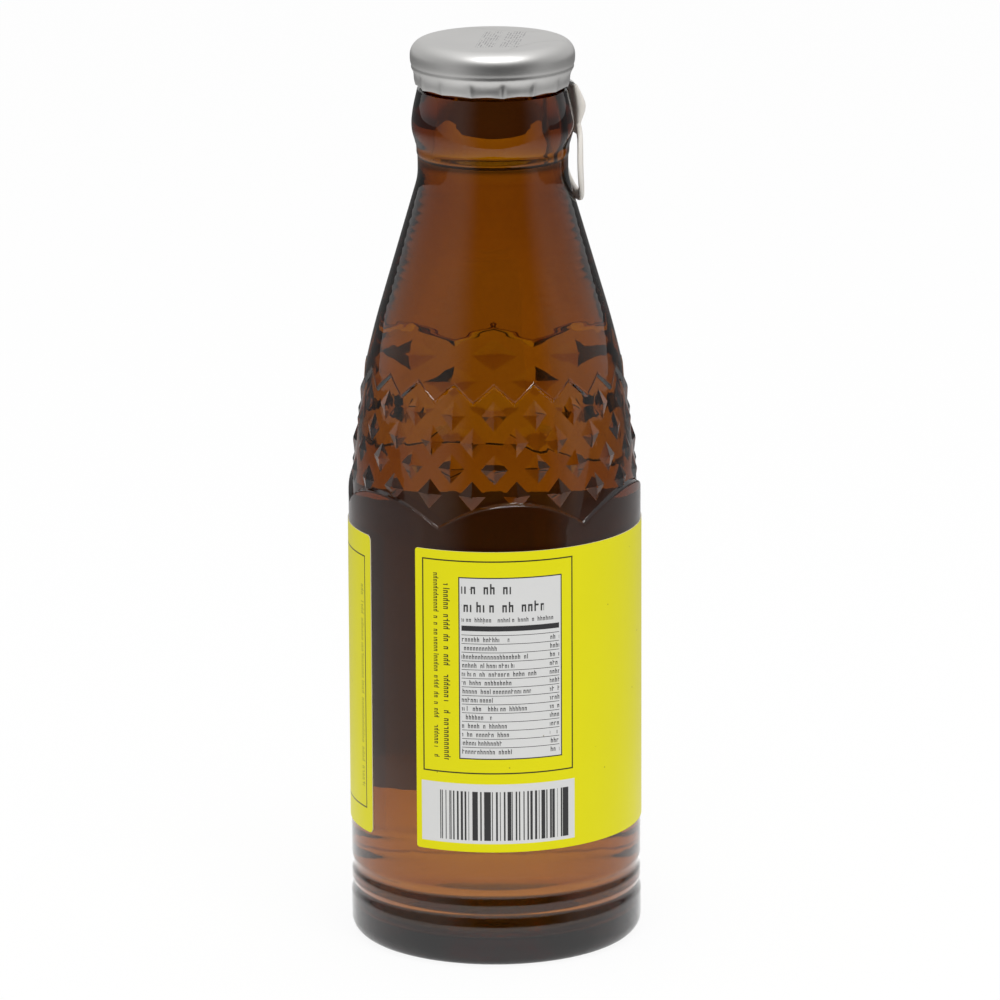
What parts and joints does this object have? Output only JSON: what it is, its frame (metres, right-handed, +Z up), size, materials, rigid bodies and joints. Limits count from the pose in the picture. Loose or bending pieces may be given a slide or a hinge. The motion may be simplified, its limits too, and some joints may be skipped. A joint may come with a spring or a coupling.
{
  "type": "glass soda bottle",
  "caption": "Small amber glass drink bottle with a diamond-moulded shoulder, a wrap-around label and an aluminium ring-pull cap.",
  "frame": {"origin": "centre of the ring that the bottle stands on, on its axis", "axes": "+Z up along the bottle's axis, -Y towards the front with the panel of printed rows on the label, +X to the right"},
  "size_m": [0.0494, 0.0494, 0.1538],
  "materials": {
    "amber_glass": "clear moulded glass",
    "drink": "clear liquid",
    "label": "printed, satin",
    "cap_aluminium": "satin lacquered",
    "liner": "soft",
    "ring_plastic": "satin moulded"
  },
  "bodies": {
    "bottle": {"glass_bottle": "amber_glass", "drink": "drink", "wrap_label": "label"},
    "cap": {"cap_shell": "cap_aluminium", "cap_liner": "liner"},
    "strip": {"tear_strip": "cap_aluminium"},
    "ring": {"pull_ring": "ring_plastic"}
  },
  "joints": [
    {"name": "cap_lift", "type": "slide", "parent": "bottle", "child": "cap", "axis": [0, 0, 1], "range_m": [0, 0.03], "deforming": ["cap_shell", "tear_strip"]},
    {"name": "strip_tear", "type": "hinge", "parent": "cap", "child": "strip", "pos_m": [0, 0, 0.1538], "axis": [0.2588, -0.9659, 0], "range_deg": [0, 110]},
    {"name": "ring_swing", "type": "hinge", "parent": "strip", "child": "ring", "pos_m": [0.01333, 0.00357, 0.1452], "axis": [0.2588, -0.9659, 0], "range_deg": [0, 120]}
  ]
}
